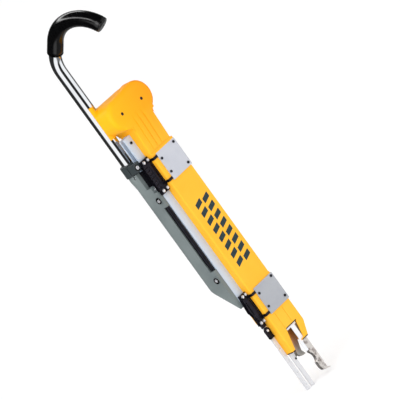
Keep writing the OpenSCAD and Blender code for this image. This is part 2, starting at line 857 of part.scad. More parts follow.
module magazine_follower() {
    color("#c9442c") union() {
        span([channel_x[0] + 2, channel_x[1] - 2], [-14, 11], [follower_z, follower_z + 14]);
        span([14, 20], [-13, 11], [follower_z + 14, follower_z + 24]);
    }
}

module follower_spring() {
    color("silver") span([11.5, 12], [-4, 4], [follower_z + 14, drum_z]);
}

module spring_drum() {
    color("#5c6066") difference() {
        union() {
            bar_y(lobe_right_x, [-8, 8], drum_z, drum_r - 0.5);
            for (y = [-10, 8]) bar_y(lobe_right_x, [y, y + 2], drum_z, drum_r + 6);
        }
        bar_y(lobe_right_x, [-20, 20], drum_z, 6 + fit_gap);
    }
}

// Sleeve on the screw bosses, on which the drum turns
module drum_axle() {
    color("silver") difference() {
        bar_y(lobe_right_x, [-13, 13], drum_z, 6);
        bar_y(lobe_right_x, [-20, 20], drum_z, 5);
    }
}

// ---------------------------------------------------------------- twister

module twister_spindle() {
    twist_z = [456, 572];
    turns = 4;
    color("#a8aab0") {
        bar_z(spindle_x, spindle_y, [100, twist_z[0]], spindle_r);
        bar_z(spindle_x, spindle_y, [twist_z[1], 606], spindle_r);
        translate([spindle_x, spindle_y, twist_z[0]])
            linear_extrude(twist_z[1] - twist_z[0], twist = -360 * turns, slices = 72,
                segments = 4) square([6.8, 4], center = true);
        bar_z(spindle_x, spindle_y, [215.5, 220], spindle_r + 2);
    }
}

// Two-pronged hook at the spindle's lower end
module twister_hook() {
    color("#6c6e74") difference() {
        union() {
            bar_z(spindle_x, spindle_y, [86, 112], 5.6);
            for (a = [0, 180]) translate([spindle_x, spindle_y, 72]) rotate([0, 0, a]) {
                translate([2.6, -1.5, 0]) cube([3, 3, 16]);
                translate([1.6, -1.5, 0]) cube([3, 3, 3]);
            }
        }
        bar_z(spindle_x, spindle_y, [100, 120], spindle_r);
    }
}

module bearing(z, t) {
    color("#9a7b3a") difference() {
        span([left_x + wall + 1.6, channel_x[0] - pass_gap], [-6, back_y - wall], [z, z + t]);
        bar_z(spindle_x, spindle_y, [z - 1, z + t + 1], spindle_r + fit_gap);
    }
}
module spindle_bearing_upper() { bearing(588, 10); }
module spindle_bearing_lower() { bearing(205, 10); }

// ---------------------------------------------------------------- jaws and feet

module tie_jaw() {
    color("#4a3a34") difference() {
        union() {
            deep(jaw_y) polygon([[-3, 156], [14, 156], [13, 135], [9, 115], [4, 97], [-1, 85],
                [-3, 77], [2, 66], [-7, 66.5], [-15, 70], [-19, 77], [-17, 90], [-13, 108], [-7, 132]]);
            bar_y(jaw_pin_x, jaw_y, jaw_pin_z, 9);
        }
        bar_y(jaw_pin_x, [-20, 5], jaw_pin_z, 2.5 + fit_gap);
    }
}

module jaw_pin() { color("silver") bar_y(jaw_pin_x, [-23.5, pin_end_y], jaw_pin_z, 2.5); }

// Fixed steel hook: a straight back, a round throat on the inside, a sloping toe
module hook_jaw() {
    color(steel) difference() {
        deep(hook_y) polygon([[12, 180], [27, 180], [27, 120], [23.2, 104], [23.2, 28], [22, 26],
            [22, 12], [30, 8.5], [30, 6.5], [20, 9], [9, 13.5], [6, 22], [5.6, 66], [5.6, 93],
            [12, 112]]);
        bar_y(throat_x, [-30, 0], throat_z, throat_r);
        bar_y(11.5, [-30, 0], 35.5, 1.8);
        for (p = hook_pins) bar_y(p[0], [-30, 0], p[1], 2);
    }
}

module hook_jaw_pins() {
    color("#55555c") for (p = hook_pins) bar_y(p[0], [hook_y[0], pin_end_y], p[1], 2);
}

module inner_blade() {
    color("#e8e8ee") difference() {
        deep([-5, -2]) polygon([[left_x + wall, 160], [-21, 160], [-21, 86], [-25, 72], [-25, 0],
            [-36, 2.5], [-36, 60]]);
        bar_y(-27, [-10, 5], 72, 1.6);
    }
}

module blade_screw() {
    color("#3c3c44") {
        bar_y(-27, [-5, -2], 72, 1.6);
        bar_y(-27, [-6.4, -5], 72, 2.6);
    }
}

// Seat inside the rail, with an arm through its slot to the plunger under the spring
module spring_seat() {
    seat_span = [seat_z, seat_z + seat_t];
    color("#33343a") difference() {
        union() {
            span([rail_left_x + rail_t, -44], [rail_front_y + rail_t, 6], seat_span);
            span([spring_x, rail_left_x + rail_t], [-0.5, 4.5], seat_span);
            bar_z(spring_x, spring_y, [seat_z, plunger_z], sleeve_bore_r - 0.3);
        }
        bar_z(spring_x, spring_y, [seat_z - 1, plunger_z + 1], rod_r + 0.35);
    }
}

// T-shaped driver that pushes a clip between the jaws
module clip_feeder() {
    color("#eeeef4") deep(feeder_y) polygon([[-13, 212], [-5.5, 212], [-5.5, 139], [19.5, 139],
        [19.5, 134.5], [13.5, 134.5], [13.5, 98], [4.6, 92], [4.6, 70], [-3.5, 70], [-3.5, 94],
        [0.8, 104], [0.8, 134.5], [-13, 134.5]]);
}

module latch_lever() {
    y = [-8.8, -5.2];
    color(black) difference() {
        union() {
            bar_y(latch_x, y, latch_z, 8.5);
            deep(y) polygon([[-57.5, 145], [-56, 143], [-44, 143], [-42.5, 145], [-41.5, 160],
                [-57.5, 160]]);
            span([-57, -43], [-11, y[0]], [143, 147]);
        }
        bar_y(latch_x, [-20, 0], latch_z, 2 + fit_gap);
    }
}

module latch_rivet() {
    color("silver") {
        bar_y(latch_x, [-9.2, strip_y[1]], latch_z, 2);
        bar_y(latch_x, [-10.6, -9.2], latch_z, 3.2);
    }
}

grip_sleeve();
grip_end_plug();
handle_tube();
tube_clamp();
tube_clamp_bolt();
carriage_casting();
roller_bolts();
spring_rod();
spring_sleeve();
return_spring();
drive_arm();
drive_arm_screws();
drive_nut();
guide_roller_upper();
guide_roller_lower();
head_front_shell();
head_back_shell();
main_front_cover();
main_back_cover();
nose_front_shell();
nose_back_shell();
tube_bush();
guide_rail();
rail_stop_screw();
foot_strip();
foot_strip_screws();
upper_bracket();
lower_bracket();
bracket_bolts();
bracket_washers();
upper_clamp_plate();
lower_clamp_plate();
clamp_plate_screws();
head_screws();
magazine_channel();
hook_jaw();
hook_jaw_pins();
inner_blade();
blade_screw();
spring_seat();
drum_axle();
spindle_bearing_upper();
spindle_bearing_lower();
jaw_pin();
wire_clips();
spring_drum();
follower_spring();
magazine_follower();
twister_spindle();
twister_hook();
tie_jaw();
clip_feeder();
latch_lever();
latch_rivet();
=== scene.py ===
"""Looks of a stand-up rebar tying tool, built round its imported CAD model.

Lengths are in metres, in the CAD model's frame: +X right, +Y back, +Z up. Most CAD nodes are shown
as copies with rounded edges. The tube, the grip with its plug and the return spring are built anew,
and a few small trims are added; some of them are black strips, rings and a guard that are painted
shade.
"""

import json
import math

import bmesh
import bpy
from mathutils import Matrix, Vector


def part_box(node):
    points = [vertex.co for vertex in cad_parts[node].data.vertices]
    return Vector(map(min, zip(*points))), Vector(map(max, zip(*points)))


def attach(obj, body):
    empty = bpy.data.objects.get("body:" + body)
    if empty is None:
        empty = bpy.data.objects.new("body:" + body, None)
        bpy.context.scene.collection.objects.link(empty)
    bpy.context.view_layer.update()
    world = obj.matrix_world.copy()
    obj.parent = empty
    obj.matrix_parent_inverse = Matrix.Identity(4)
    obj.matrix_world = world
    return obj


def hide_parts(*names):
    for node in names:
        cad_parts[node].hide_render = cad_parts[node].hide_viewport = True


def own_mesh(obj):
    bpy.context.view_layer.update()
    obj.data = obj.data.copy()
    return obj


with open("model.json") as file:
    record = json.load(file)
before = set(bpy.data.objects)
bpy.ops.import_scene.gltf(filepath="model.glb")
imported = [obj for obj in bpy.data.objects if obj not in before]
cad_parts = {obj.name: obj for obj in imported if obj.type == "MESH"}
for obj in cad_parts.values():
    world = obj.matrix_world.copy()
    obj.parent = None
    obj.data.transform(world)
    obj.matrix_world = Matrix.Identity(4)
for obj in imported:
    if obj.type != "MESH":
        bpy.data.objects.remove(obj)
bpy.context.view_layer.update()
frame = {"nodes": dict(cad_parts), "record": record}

SLOTS = {part["node"]: part["material_slot"] for part in frame["record"]["subparts"]}
BODY_OF = {
    node: body
    for body, nodes in frame["record"]["behaviour"]["bodies"].items()
    for node in nodes
}

# ------------------------------------------------------------------ camera and light

AIM = Vector((0.0204, 0.0, 0.4816))
CAMERA_TURN = math.radians(-40.0)
CAMERA_RISE = math.radians(9.0)
CAMERA_ROLL = math.radians(-35.8)
CAMERA_DISTANCE = 20.0
CAMERA_LENS = 811.4
STRIP_LEVEL = 7.5
SOFT_FROM = Vector((-0.75, -0.45, 0.48)).normalized()
SOFT_SWING = 0.62
SOFT_MIDDLE = 0.8
TO_CAMERA = Vector(
    (
        math.sin(CAMERA_TURN) * math.cos(CAMERA_RISE),
        -math.cos(CAMERA_TURN) * math.cos(CAMERA_RISE),
        math.sin(CAMERA_RISE),
    )
)


def make_camera():
    """Long lens from the left front, turned about its own axis as the tool lies across the picture."""
    data = bpy.data.cameras.new("camera")
    data.lens = CAMERA_LENS
    data.clip_end = 200.0
    camera = bpy.data.objects.new("camera", data)
    bpy.context.scene.collection.objects.link(camera)
    upright = (-TO_CAMERA).to_track_quat("-Z", "Y").to_matrix().to_4x4()
    turned = upright @ Matrix.Rotation(CAMERA_ROLL, 4, "Z")
    camera.matrix_world = Matrix.Translation(AIM + TO_CAMERA * CAMERA_DISTANCE) @ turned
    bpy.context.scene.camera = camera


def ramp_of(tree, factor, stops):
    """Colour ramp node in grey. stops lists (place from 0 to 1, level)."""
    node = tree.nodes.new("ShaderNodeValToRGB")
    elements = node.color_ramp.elements
    elements.remove(elements[1])
    elements[0].position = stops[0][0]
    elements[0].color = (*[stops[0][1]] * 3, 1.0)
    for place, level in stops[1:]:
        elements.new(place).color = (*[level] * 3, 1.0)
    tree.links.new(factor, node.inputs["Fac"])
    return node.outputs["Color"]


def make_world():
    """Plain soft studio. Polished metal sees a ring of white panels with dark gaps between them."""
    world = bpy.data.worlds.new("studio")
    bpy.context.scene.world = world
    world.use_nodes = True
    tree = world.node_tree
    tree.nodes.clear()
    link = tree.links.new

    def math_node(operation, *values):
        node = tree.nodes.new("ShaderNodeMath")
        node.operation = operation
        for i, value in enumerate(values):
            if isinstance(value, bpy.types.NodeSocket):
                link(value, node.inputs[i])
            else:
                node.inputs[i].default_value = value
        return node.outputs[0]

    def background(colour, strength):
        node = tree.nodes.new("ShaderNodeBackground")
        if isinstance(colour, bpy.types.NodeSocket):
            link(colour, node.inputs["Color"])
        else:
            node.inputs["Color"].default_value = colour
        node.inputs["Strength"].default_value = strength
        return node.outputs[0]

    def choose(share, first, second):
        node = tree.nodes.new("ShaderNodeMixShader")
        link(share, node.inputs[0])
        link(first, node.inputs[1])
        link(second, node.inputs[2])
        return node.outputs[0]

    # Shares round the horizon, where 0.5 lies towards the camera, and from straight down to straight up
    direction = tree.nodes.new("ShaderNodeTexCoord").outputs["Generated"]
    turned = tree.nodes.new("ShaderNodeVectorRotate")
    turned.rotation_type = "Z_AXIS"
    link(direction, turned.inputs["Vector"])
    turned.inputs["Angle"].default_value = math.radians(90.0) - CAMERA_TURN
    parts = tree.nodes.new("ShaderNodeSeparateXYZ")
    link(turned.outputs[0], parts.inputs[0])
    round_share = math_node(
        "MULTIPLY_ADD",
        math_node("ARCTAN2", parts.outputs["Y"], parts.outputs["X"]),
        1.0 / math.tau,
        0.5,
    )
    height_share = math_node("MULTIPLY_ADD", parts.outputs["Z"], 0.5, 0.5)
    ring = ramp_of(
        tree,
        round_share,
        [
            (0.0, 0.55), (0.04, 0.55), (0.06, 0.02), (0.31, 0.02),
            (0.335, 1.15), (0.485, 1.15), (0.497, 0.015), (0.61, 0.015),
            (0.625, 1.15), (0.785, 1.15), (0.81, 0.04), (0.9, 0.04), (0.93, 0.55),
        ],
    )
    ring_band = ramp_of(
        tree,
        height_share,
        [(0.0, 0.0), (0.06, 0.0), (0.12, 1.0), (0.64, 1.0), (0.74, 0.0)],
    )
    strip_band = ramp_of(
        tree, height_share, [(0.0, 0.0), (0.815, 0.0), (0.83, 1.0), (0.87, 1.0), (0.885, 0.0)]
    )
    strip_reach = ramp_of(
        tree, round_share, [(0.0, 1.0), (0.4, 1.0), (0.44, 0.0), (0.9, 0.0), (0.94, 1.0)]
    )
    ambient = ramp_of(tree, height_share, [(0.0, 0.3), (0.06, 0.2), (0.14, 0.01), (1.0, 0.01)])
    strip = math_node("MULTIPLY", math_node("MULTIPLY", strip_band, strip_reach), STRIP_LEVEL)
    panels = math_node("MULTIPLY_ADD", ring, ring_band, math_node("ADD", strip, ambient))
    key = tree.nodes.new("ShaderNodeVectorMath")
    key.operation = "DOT_PRODUCT"
    link(direction, key.inputs[0])
    key.inputs[1].default_value = SOFT_FROM
    soft = math_node("MULTIPLY_ADD", key.outputs["Value"], SOFT_SWING, SOFT_MIDDLE)

    light_path = tree.nodes.new("ShaderNodeLightPath")
    lit = choose(
        light_path.outputs["Is Glossy Ray"],
        background(soft, 1.0),
        background(panels, 1.0),
    )
    seen = choose(
        light_path.outputs["Is Camera Ray"], lit, background((1.0, 1.0, 1.0, 1.0), 1.0)
    )
    link(seen, tree.nodes.new("ShaderNodeOutputWorld").inputs["Surface"])


def make_key_light():
    """One large soft panel from the upper left, for the shading inside the brackets."""
    data = bpy.data.lights.new("key_panel", "AREA")
    data.shape = "RECTANGLE"
    data.size = 1.6
    data.size_y = 2.2
    data.energy = 26.0
    light = bpy.data.objects.new("key_panel", data)
    light.location = (-2.4, -1.5, 1.9)
    aim = Vector((-0.02, 0.0, 0.45)) - light.location
    light.rotation_euler = aim.to_track_quat("-Z", "Y").to_euler()
    bpy.context.scene.collection.objects.link(light)


# ------------------------------------------------------------------ material graphs

# Scales of a noise that draw it out into lines along Z or along X
UP = (1.0, 1.0, 0.02)
ACROSS = (0.02, 1.0, 1.0)


def srgb(red, green, blue):
    """Linear colour of the usual 0 to 255 levels."""

    def linear(level):
        share = level / 255.0
        return share / 12.92 if share <= 0.04045 else ((share + 0.055) / 1.055) ** 2.4

    return (linear(red), linear(green), linear(blue), 1.0)


class Finish:
    """One material's node graph, built with short calls. Places are in the object's own metres."""

    def __init__(self, name, **constants):
        self.material = bpy.data.materials.new(name)
        self.material.use_nodes = True
        self.tree = self.material.node_tree
        self.shader = self.tree.nodes["Principled BSDF"]
        self.place = self.tree.nodes.new("ShaderNodeTexCoord").outputs["Object"]
        for socket, value in constants.items():
            self.shader.inputs[socket.replace("_", " ")].default_value = value

    def put(self, socket, value):
        """Links another node's output to a socket, or sets a plain value."""
        if isinstance(value, bpy.types.NodeSocket):
            self.tree.links.new(value, socket)
        else:
            socket.default_value = value

    def node(self, kind, inputs=None, **settings):
        """New node with its inputs filled in, by name or by number."""
        made = self.tree.nodes.new(kind)
        for name, value in settings.items():
            setattr(made, name, value)
        for name, value in (inputs or {}).items():
            self.put(made.inputs[name], value)
        return made

    def noise(self, scale, detail=2.0, stretch=(1.0, 1.0, 1.0)):
        """Soft noise with scale cells to the metre, from 0 to 1."""
        spread = self.node("ShaderNodeMapping", {"Vector": self.place, "Scale": stretch})
        inputs = {"Vector": spread.outputs[0], "Scale": scale, "Detail": detail}
        return self.node("ShaderNodeTexNoise", inputs).outputs[0]

    def place_on(self, axis):
        """Where a point lies on one axis of the object, in metres."""
        return self.node("ShaderNodeSeparateXYZ", {0: self.place}).outputs[axis]

    def remap(self, value, low, high, to_low=0.0, to_high=1.0):
        """Moves low to high linearly to another stretch, and holds what lies beyond it."""
        inputs = {
            "Value": value,
            "From Min": low,
            "From Max": high,
            "To Min": to_low,
            "To Max": to_high,
        }
        return self.node("ShaderNodeMapRange", inputs).outputs[0]

    def mixed(self, share, first, second):
        """Blend of two colours."""
        made = self.node("ShaderNodeMix", {0: share, 6: first, 7: second}, data_type="RGBA")
        return made.outputs[2]

    def product(self, first, second):
        return self.node("ShaderNodeMath", {0: first, 1: second}, operation="MULTIPLY").outputs[0]

    def edge(self, scale, strength):
        """Share of bare or polished edge, broken up by noise. Only rounded edges carry it."""
        worn = self.node("ShaderNodeAttribute", attribute_name="edge").outputs["Fac"]
        return self.product(worn, self.remap(self.noise(scale, 3.0), 0.35, 0.65, 0.0, strength))

    def scratches(self, scale, along, strength):
        """Thin lines along one axis of the object."""
        lines = self.noise(scale, 4.0, along)
        return self.remap(lines, 0.62, 0.72, 0.0, strength)

    def bump(self, height, distance, strength=1.0, normal=None):
        """Normal for a relief, which can lie on top of another one."""
        inputs = {"Height": height, "Distance": distance, "Strength": strength}
        if normal is not None:
            inputs["Normal"] = normal
        return self.node("ShaderNodeBump", inputs).outputs[0]

    def finish(self, colour, roughness, normal=None):
        """Fills in the shader and gives back the material."""
        self.put(self.shader.inputs["Base Color"], colour)
        self.put(self.shader.inputs["Roughness"], roughness)
        if normal is not None:
            self.put(self.shader.inputs["Normal"], normal)
        return self.material


def moulded_plastic(name, colour, deep, pale, roughness):
    """Satin moulded plastic: faint flow in the colour, polished edges and a fine spark-eroded grain."""
    paint = Finish(name, Specular_IOR_Level=0.45)
    flow = paint.remap(paint.noise(9.0, 3.0, (1.0, 1.0, 0.35)), 0.3, 0.7)
    body = paint.mixed(flow, colour, deep)
    rubbed = paint.mixed(paint.edge(60.0, 0.55), body, pale)
    scuffs = paint.scratches(34.0, (9.0, 9.0, 1.0), 0.22)
    worn = paint.mixed(scuffs, rubbed, pale)
    rough = paint.remap(paint.noise(26.0, 4.0), 0.3, 0.7, roughness - 0.05, roughness + 0.08)
    grain = paint.bump(paint.noise(2600.0, 2.0), 0.00005, 0.5)
    sink = paint.bump(paint.noise(24.0, 1.0), 0.0004, 0.25, grain)
    return paint.finish(worn, rough, sink)


def brushed_metal(name, colour, dark, roughness, along, metallic=1.0):
    """Bare metal with fine drawing lines along one axis, dull patches and brighter edges."""
    paint = Finish(name, Metallic=metallic)
    lines = paint.noise(900.0, 3.0, along)
    patches = paint.remap(paint.noise(18.0, 3.0), 0.35, 0.7)
    body = paint.mixed(paint.product(patches, 0.6), colour, dark)
    bright = tuple(min(1.0, level * 1.12) for level in colour[:3]) + (1.0,)
    edged = paint.mixed(paint.edge(90.0, 0.8), body, bright)
    rough = paint.remap(lines, 0.3, 0.7, roughness - 0.05, roughness + 0.07)
    return paint.finish(edged, rough, paint.bump(lines, 0.00003, 0.35))


def cast_paint(name, colour, deep, bare, roughness, grain):
    """Painted casting: orange peel over a sandy skin, with edges rubbed towards the metal."""
    paint = Finish(name, Specular_IOR_Level=0.4)
    clouds = paint.remap(paint.noise(14.0, 4.0), 0.3, 0.7)
    body = paint.mixed(clouds, colour, deep)
    rubbed = paint.mixed(paint.edge(70.0, 0.75), body, bare)
    rough = paint.remap(paint.noise(60.0, 3.0), 0.3, 0.7, roughness - 0.06, roughness + 0.08)
    sand = paint.bump(paint.noise(900.0, 3.0), 0.00012, grain)
    return paint.finish(rubbed, rough, paint.bump(paint.noise(220.0, 2.0), 0.0003, 0.3, sand))


def black_oxide(name, colour, tint, roughness):
    """Blackened steel with a slight violet cast, oily patches and rubbed edges."""
    paint = Finish(name, Metallic=0.75)
    patches = paint.remap(paint.noise(70.0, 4.0), 0.35, 0.68)
    body = paint.mixed(patches, colour, tint)
    rubbed = paint.mixed(paint.edge(160.0, 0.5), body, srgb(128, 126, 136))
    rough = paint.remap(paint.noise(140.0, 3.0), 0.3, 0.7, roughness - 0.08, roughness + 0.12)
    return paint.finish(rubbed, rough, paint.bump(paint.noise(1400.0, 2.0), 0.00005, 0.5))


def glossy_rubber():
    """Smooth moulded rubber: nearly black and shiny, with a soft bloom and handling marks."""
    paint = Finish("grip_rubber", Specular_IOR_Level=0.42)
    bloom = paint.remap(paint.noise(38.0, 4.0), 0.5, 0.85)
    body = paint.mixed(paint.product(bloom, 0.5), srgb(4, 4, 5), srgb(16, 17, 19))
    rough = paint.remap(paint.noise(55.0, 4.0), 0.3, 0.7, 0.12, 0.22)
    skin = paint.bump(paint.noise(1500.0, 2.0), 0.00004, 0.35)
    return paint.finish(body, rough, paint.bump(paint.noise(60.0, 1.0), 0.0003, 0.15, skin))


def chrome():
    """Chrome plate: tiny haze marks from sliding in its bush, nearly a mirror."""
    paint = Finish("chrome_tube", Metallic=1.0)
    haze = paint.remap(paint.noise(48.0, 4.0, (1.0, 1.0, 0.25)), 0.45, 0.75)
    body = paint.mixed(haze, srgb(228, 230, 233), srgb(214, 217, 221))
    lines = paint.scratches(260.0, (3.0, 3.0, 0.12), 0.05)
    rough = paint.node("ShaderNodeMath", {0: lines, 1: 0.05}, operation="ADD").outputs[0]
    return paint.finish(body, rough, paint.bump(paint.noise(30.0, 1.0), 0.0001, 0.1))


def forged():
    """Ground and forged tool steel: warm grey with dark scale left in the hollows."""
    paint = Finish("forged_steel", Metallic=0.85)
    scale = paint.remap(paint.noise(130.0, 4.0), 0.48, 0.66)
    body = paint.mixed(scale, srgb(212, 207, 203), srgb(150, 140, 136))
    edged = paint.mixed(paint.edge(120.0, 0.8), body, srgb(232, 224, 220))
    rough = paint.remap(paint.noise(240.0, 3.0), 0.3, 0.7, 0.32, 0.5)
    pits = paint.bump(paint.noise(700.0, 3.0), 0.0001, 0.5)
    return paint.finish(edged, rough, pits)


def anodised_rail():
    """Anodised aluminium, cooler on the rail than on the strips near the ground."""
    paint = Finish("rail_aluminium", Metallic=0.15)
    lines = paint.noise(500.0, 3.0, UP)
    rail = paint.mixed(lines, srgb(196, 210, 228), srgb(186, 200, 218))
    strips = paint.mixed(lines, srgb(221, 221, 224), srgb(206, 207, 211))
    body = paint.mixed(paint.remap(paint.place_on("Z"), 0.12, 0.26), strips, rail)
    edged = paint.mixed(paint.edge(160.0, 0.8), body, srgb(170, 172, 176))
    rough = paint.remap(lines, 0.3, 0.7, 0.36, 0.48)
    return paint.finish(edged, rough, paint.bump(lines, 0.00003, 0.35))


def tempered_steel():
    """Hardened steel: straw-brown where it was drawn near the pin, bare grey at the working tip."""
    paint = Finish("jaw_steel", Metallic=0.5)
    lines = paint.noise(500.0, 3.0, UP)
    bare = paint.mixed(lines, srgb(182, 178, 172), srgb(112, 108, 102))
    straw = paint.mixed(lines, srgb(222, 142, 66), srgb(150, 88, 42))
    body = paint.mixed(paint.remap(paint.place_on("Z"), 0.078, 0.118), bare, straw)
    edged = paint.mixed(paint.edge(150.0, 0.7), body, srgb(206, 200, 192))
    rough = paint.remap(lines, 0.3, 0.7, 0.3, 0.42)
    return paint.finish(edged, rough, paint.bump(lines, 0.00004, 0.4))


def housing_plastic():
    """Yellow moulding compound. The head comes from a deeper batch; its darkening towards the right is
    painted shade.
    """
    paint = Finish("yellow_shell", Specular_IOR_Level=0.2)
    cloud = paint.remap(paint.noise(9.0, 4.0), 0.3, 0.7)
    covers = paint.mixed(cloud, srgb(253, 188, 54), srgb(250, 178, 42))
    # Painted shade: the head's colour darkens towards the right, as if lit from the left.
    painted_shade_share = paint.remap(paint.place_on("X"), -0.075, 0.07)
    head_tone_with_painted_shade = paint.mixed(painted_shade_share, srgb(255, 179, 8), srgb(246, 152, 2))
    head_share = paint.remap(paint.place_on("Z"), 0.60, 0.73)
    body = paint.mixed(head_share, covers, head_tone_with_painted_shade)
    worn = paint.mixed(paint.edge(90.0, 0.35), body, srgb(255, 204, 84))
    rough = paint.remap(paint.noise(60.0, 3.0), 0.3, 0.7, 0.36, 0.5)
    grain = paint.bump(paint.noise(1100.0, 2.0), 0.00005, 0.5)
    return paint.finish(worn, rough, grain)


def clamp_sheet():
    """Zinc-plated sheet, duller and greyer on the plate nearer the ground."""
    paint = Finish("clamp_plate", Metallic=0.45)
    lines = paint.noise(900.0, 3.0, ACROSS)
    patches = paint.remap(paint.noise(18.0, 3.0), 0.35, 0.7)
    upper = paint.mixed(patches, srgb(200, 202, 210), srgb(188, 191, 201))
    lower = paint.mixed(patches, srgb(178, 181, 186), srgb(168, 170, 178))
    body = paint.mixed(paint.remap(paint.place_on("Z"), 0.3, 0.5), lower, upper)
    edged = paint.mixed(paint.edge(90.0, 0.8), body, srgb(226, 226, 232))
    rough = paint.remap(lines, 0.3, 0.7, 0.36, 0.48)
    return paint.finish(edged, rough, paint.bump(lines, 0.00003, 0.35))


def printed_ink():
    """Flat dark ink with a slightly uneven lay."""
    paint = Finish("label_ink", Specular_IOR_Level=0.3)
    lay = paint.remap(paint.noise(160.0, 3.0), 0.35, 0.7)
    body = paint.mixed(lay, srgb(24, 44, 52), srgb(36, 62, 66))
    return paint.finish(body, paint.remap(paint.noise(300.0, 2.0), 0.3, 0.7, 0.42, 0.55))


def floor_paint():
    """Pale studio floor."""
    paint = Finish("floor_paint", Specular_IOR_Level=0.1)
    body = paint.mixed(paint.noise(3.0, 2.0), srgb(250, 250, 251), srgb(252, 252, 252))
    paint.shader.inputs["Emission Color"].default_value = (1.0, 1.0, 1.0, 1.0)
    paint.shader.inputs["Emission Strength"].default_value = 0.06
    return paint.finish(body, 0.9)


def make_materials():
    """Blender material for each of the record's material slots."""
    return {
        "grip_rubber": glossy_rubber(),
        "chrome_tube": chrome(),
        "dark_clamp": cast_paint(
            "dark_clamp", srgb(54, 61, 63), srgb(43, 49, 52), srgb(96, 102, 104), 0.42, 0.4
        ),
        "grey_casting": cast_paint(
            "grey_casting", srgb(118, 127, 127), srgb(104, 113, 114), srgb(158, 162, 162), 0.48, 0.5
        ),
        "bright_steel": brushed_metal(
            "bright_steel", srgb(232, 232, 236), srgb(204, 204, 210), 0.26, ACROSS, 0.7
        ),
        "black_steel": black_oxide("black_steel", srgb(34, 34, 42), srgb(24, 23, 30), 0.34),
        "bronze": brushed_metal("bronze", srgb(196, 152, 84), srgb(150, 108, 56), 0.35, ACROSS),
        "roller_nylon": moulded_plastic(
            "roller_nylon", srgb(52, 52, 57), srgb(44, 44, 49), srgb(90, 90, 95), 0.45
        ),
        "yellow_shell": housing_plastic(),
        "bush_nylon": moulded_plastic(
            "bush_nylon", srgb(240, 190, 70), srgb(226, 176, 60), srgb(250, 214, 120), 0.4
        ),
        "rail_aluminium": anodised_rail(),
        "black_bracket": black_oxide("black_bracket", srgb(30, 27, 38), srgb(17, 16, 25), 0.3),
        "clamp_plate": clamp_sheet(),
        "forged_steel": forged(),
        "jaw_steel": tempered_steel(),
        "feeder_white": moulded_plastic(
            "feeder_white", srgb(238, 240, 244), srgb(226, 229, 236), srgb(250, 250, 252), 0.35
        ),
        "follower_plastic": moulded_plastic(
            "follower_plastic", srgb(201, 68, 44), srgb(182, 56, 36), srgb(226, 120, 96), 0.4
        ),
    }


# ------------------------------------------------------------------ mesh helpers

SHARP_ANGLE = math.radians(50.0)
HARD_ANGLE = math.radians(30.0)
FLAT_ANGLE = math.radians(0.4)
WELD_REACH = 2e-6


def new_piece(name, mesh, body, slot_name, material=None):
    """Object for a finished mesh that rides on a body, in its slot's material or another one."""
    piece = bpy.data.objects.new(name, mesh)
    bpy.context.scene.collection.objects.link(piece)
    mesh.materials.clear()
    mesh.materials.append(material or materials[slot_name])
    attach(piece, body)
    return piece


def smooth(mesh):
    """Smooth shading that keeps the edges steeper than SHARP_ANGLE."""
    mesh.shade_smooth()
    mesh.set_sharp_from_angle(angle=SHARP_ANGLE)


def mesh_of(bm, name):
    """Turns a bmesh into a smooth shaded mesh and frees it."""
    mesh = bpy.data.meshes.new(name)
    bm.to_mesh(mesh)
    bm.free()
    smooth(mesh)
    return mesh


def bevel(bm, edges, width, segments, clamp=True):
    """Rounds edges and returns the faces that this makes."""
    made = bmesh.ops.bevel(
        bm, geom=edges, offset=width, offset_type="OFFSET", segments=segments, profile=0.5,
        affect="EDGES", clamp_overlap=clamp,
    )
    return made["faces"]


def add_prism(bm, near_points, far_points):
    """Adds a prism between two outlines with the same number of points."""
    near = [bm.verts.new(point) for point in near_points]
    far = [bm.verts.new(point) for point in far_points]
    bm.faces.new(near)
    bm.faces.new(far[::-1])
    for i in range(len(near)):
        j = (i + 1) % len(near)
        bm.faces.new((near[j], near[i], far[i], far[j]))


def even_normals(piece):
    """Keeps flat faces flat next to their rounded edges."""
    modifier = piece.modifiers.new("even_normals", "WEIGHTED_NORMAL")
    modifier.mode = "FACE_AREA"
    modifier.weight = 100
    modifier.keep_sharp = True


def islands(bm):
    """Lists of faces that hang together."""
    left = set(bm.faces)
    groups = []
    for first in bm.faces:
        if first not in left:
            continue
        left.remove(first)
        stack = [first]
        group = []
        while stack:
            face = stack.pop()
            group.append(face)
            for edge in face.edges:
                for other in edge.link_faces:
                    if other in left:
                        left.remove(other)
                        stack.append(other)
        groups.append(group)
    return groups


def hard_edges(faces, test):
    """Edges on these faces that are steeper than HARD_ANGLE and pass the test."""
    found = {}
    for face in faces:
        for edge in face.edges:
            steep = len(edge.link_faces) == 2 and edge.calc_face_angle() > HARD_ANGLE
            if steep and test(edge):
                found[edge] = True
    return list(found)


def whole_mesh(node):
    """CAD node as a bmesh with its points welded and its flat faces made whole."""
    bm = bmesh.new()
    bm.from_mesh(frame["nodes"][node].data)
    bmesh.ops.remove_doubles(bm, verts=bm.verts, dist=WELD_REACH)
    bmesh.ops.dissolve_limit(
        bm, angle_limit=FLAT_ANGLE, verts=bm.verts, edges=bm.edges, delimit=set()
    )
    return bm


def always(edge):
    """Test that every edge passes."""
    return True


def dressed(node, width, large=()):
    """Shows a CAD node as a copy with rounded edges. large lists (radius, test) rules that go first."""
    bm = whole_mesh(node)
    layer = bm.faces.layers.float.new("edge")
    for radius, test in large:
        for group in islands(bm):
            rounding = hard_edges(group, test)
            if rounding:
                bevel(bm, rounding, radius, 6, clamp=False)
    for group in islands(bm):
        rounding = hard_edges(group, always)
        if rounding:
            for face in bevel(bm, rounding, width, 2):
                face[layer] = 1.0
    mesh = mesh_of(bm, node + "_skin")
    piece = new_piece(node + "_skin", mesh, BODY_OF[node], SLOTS[node])
    even_normals(piece)
    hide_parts(node)
    return piece


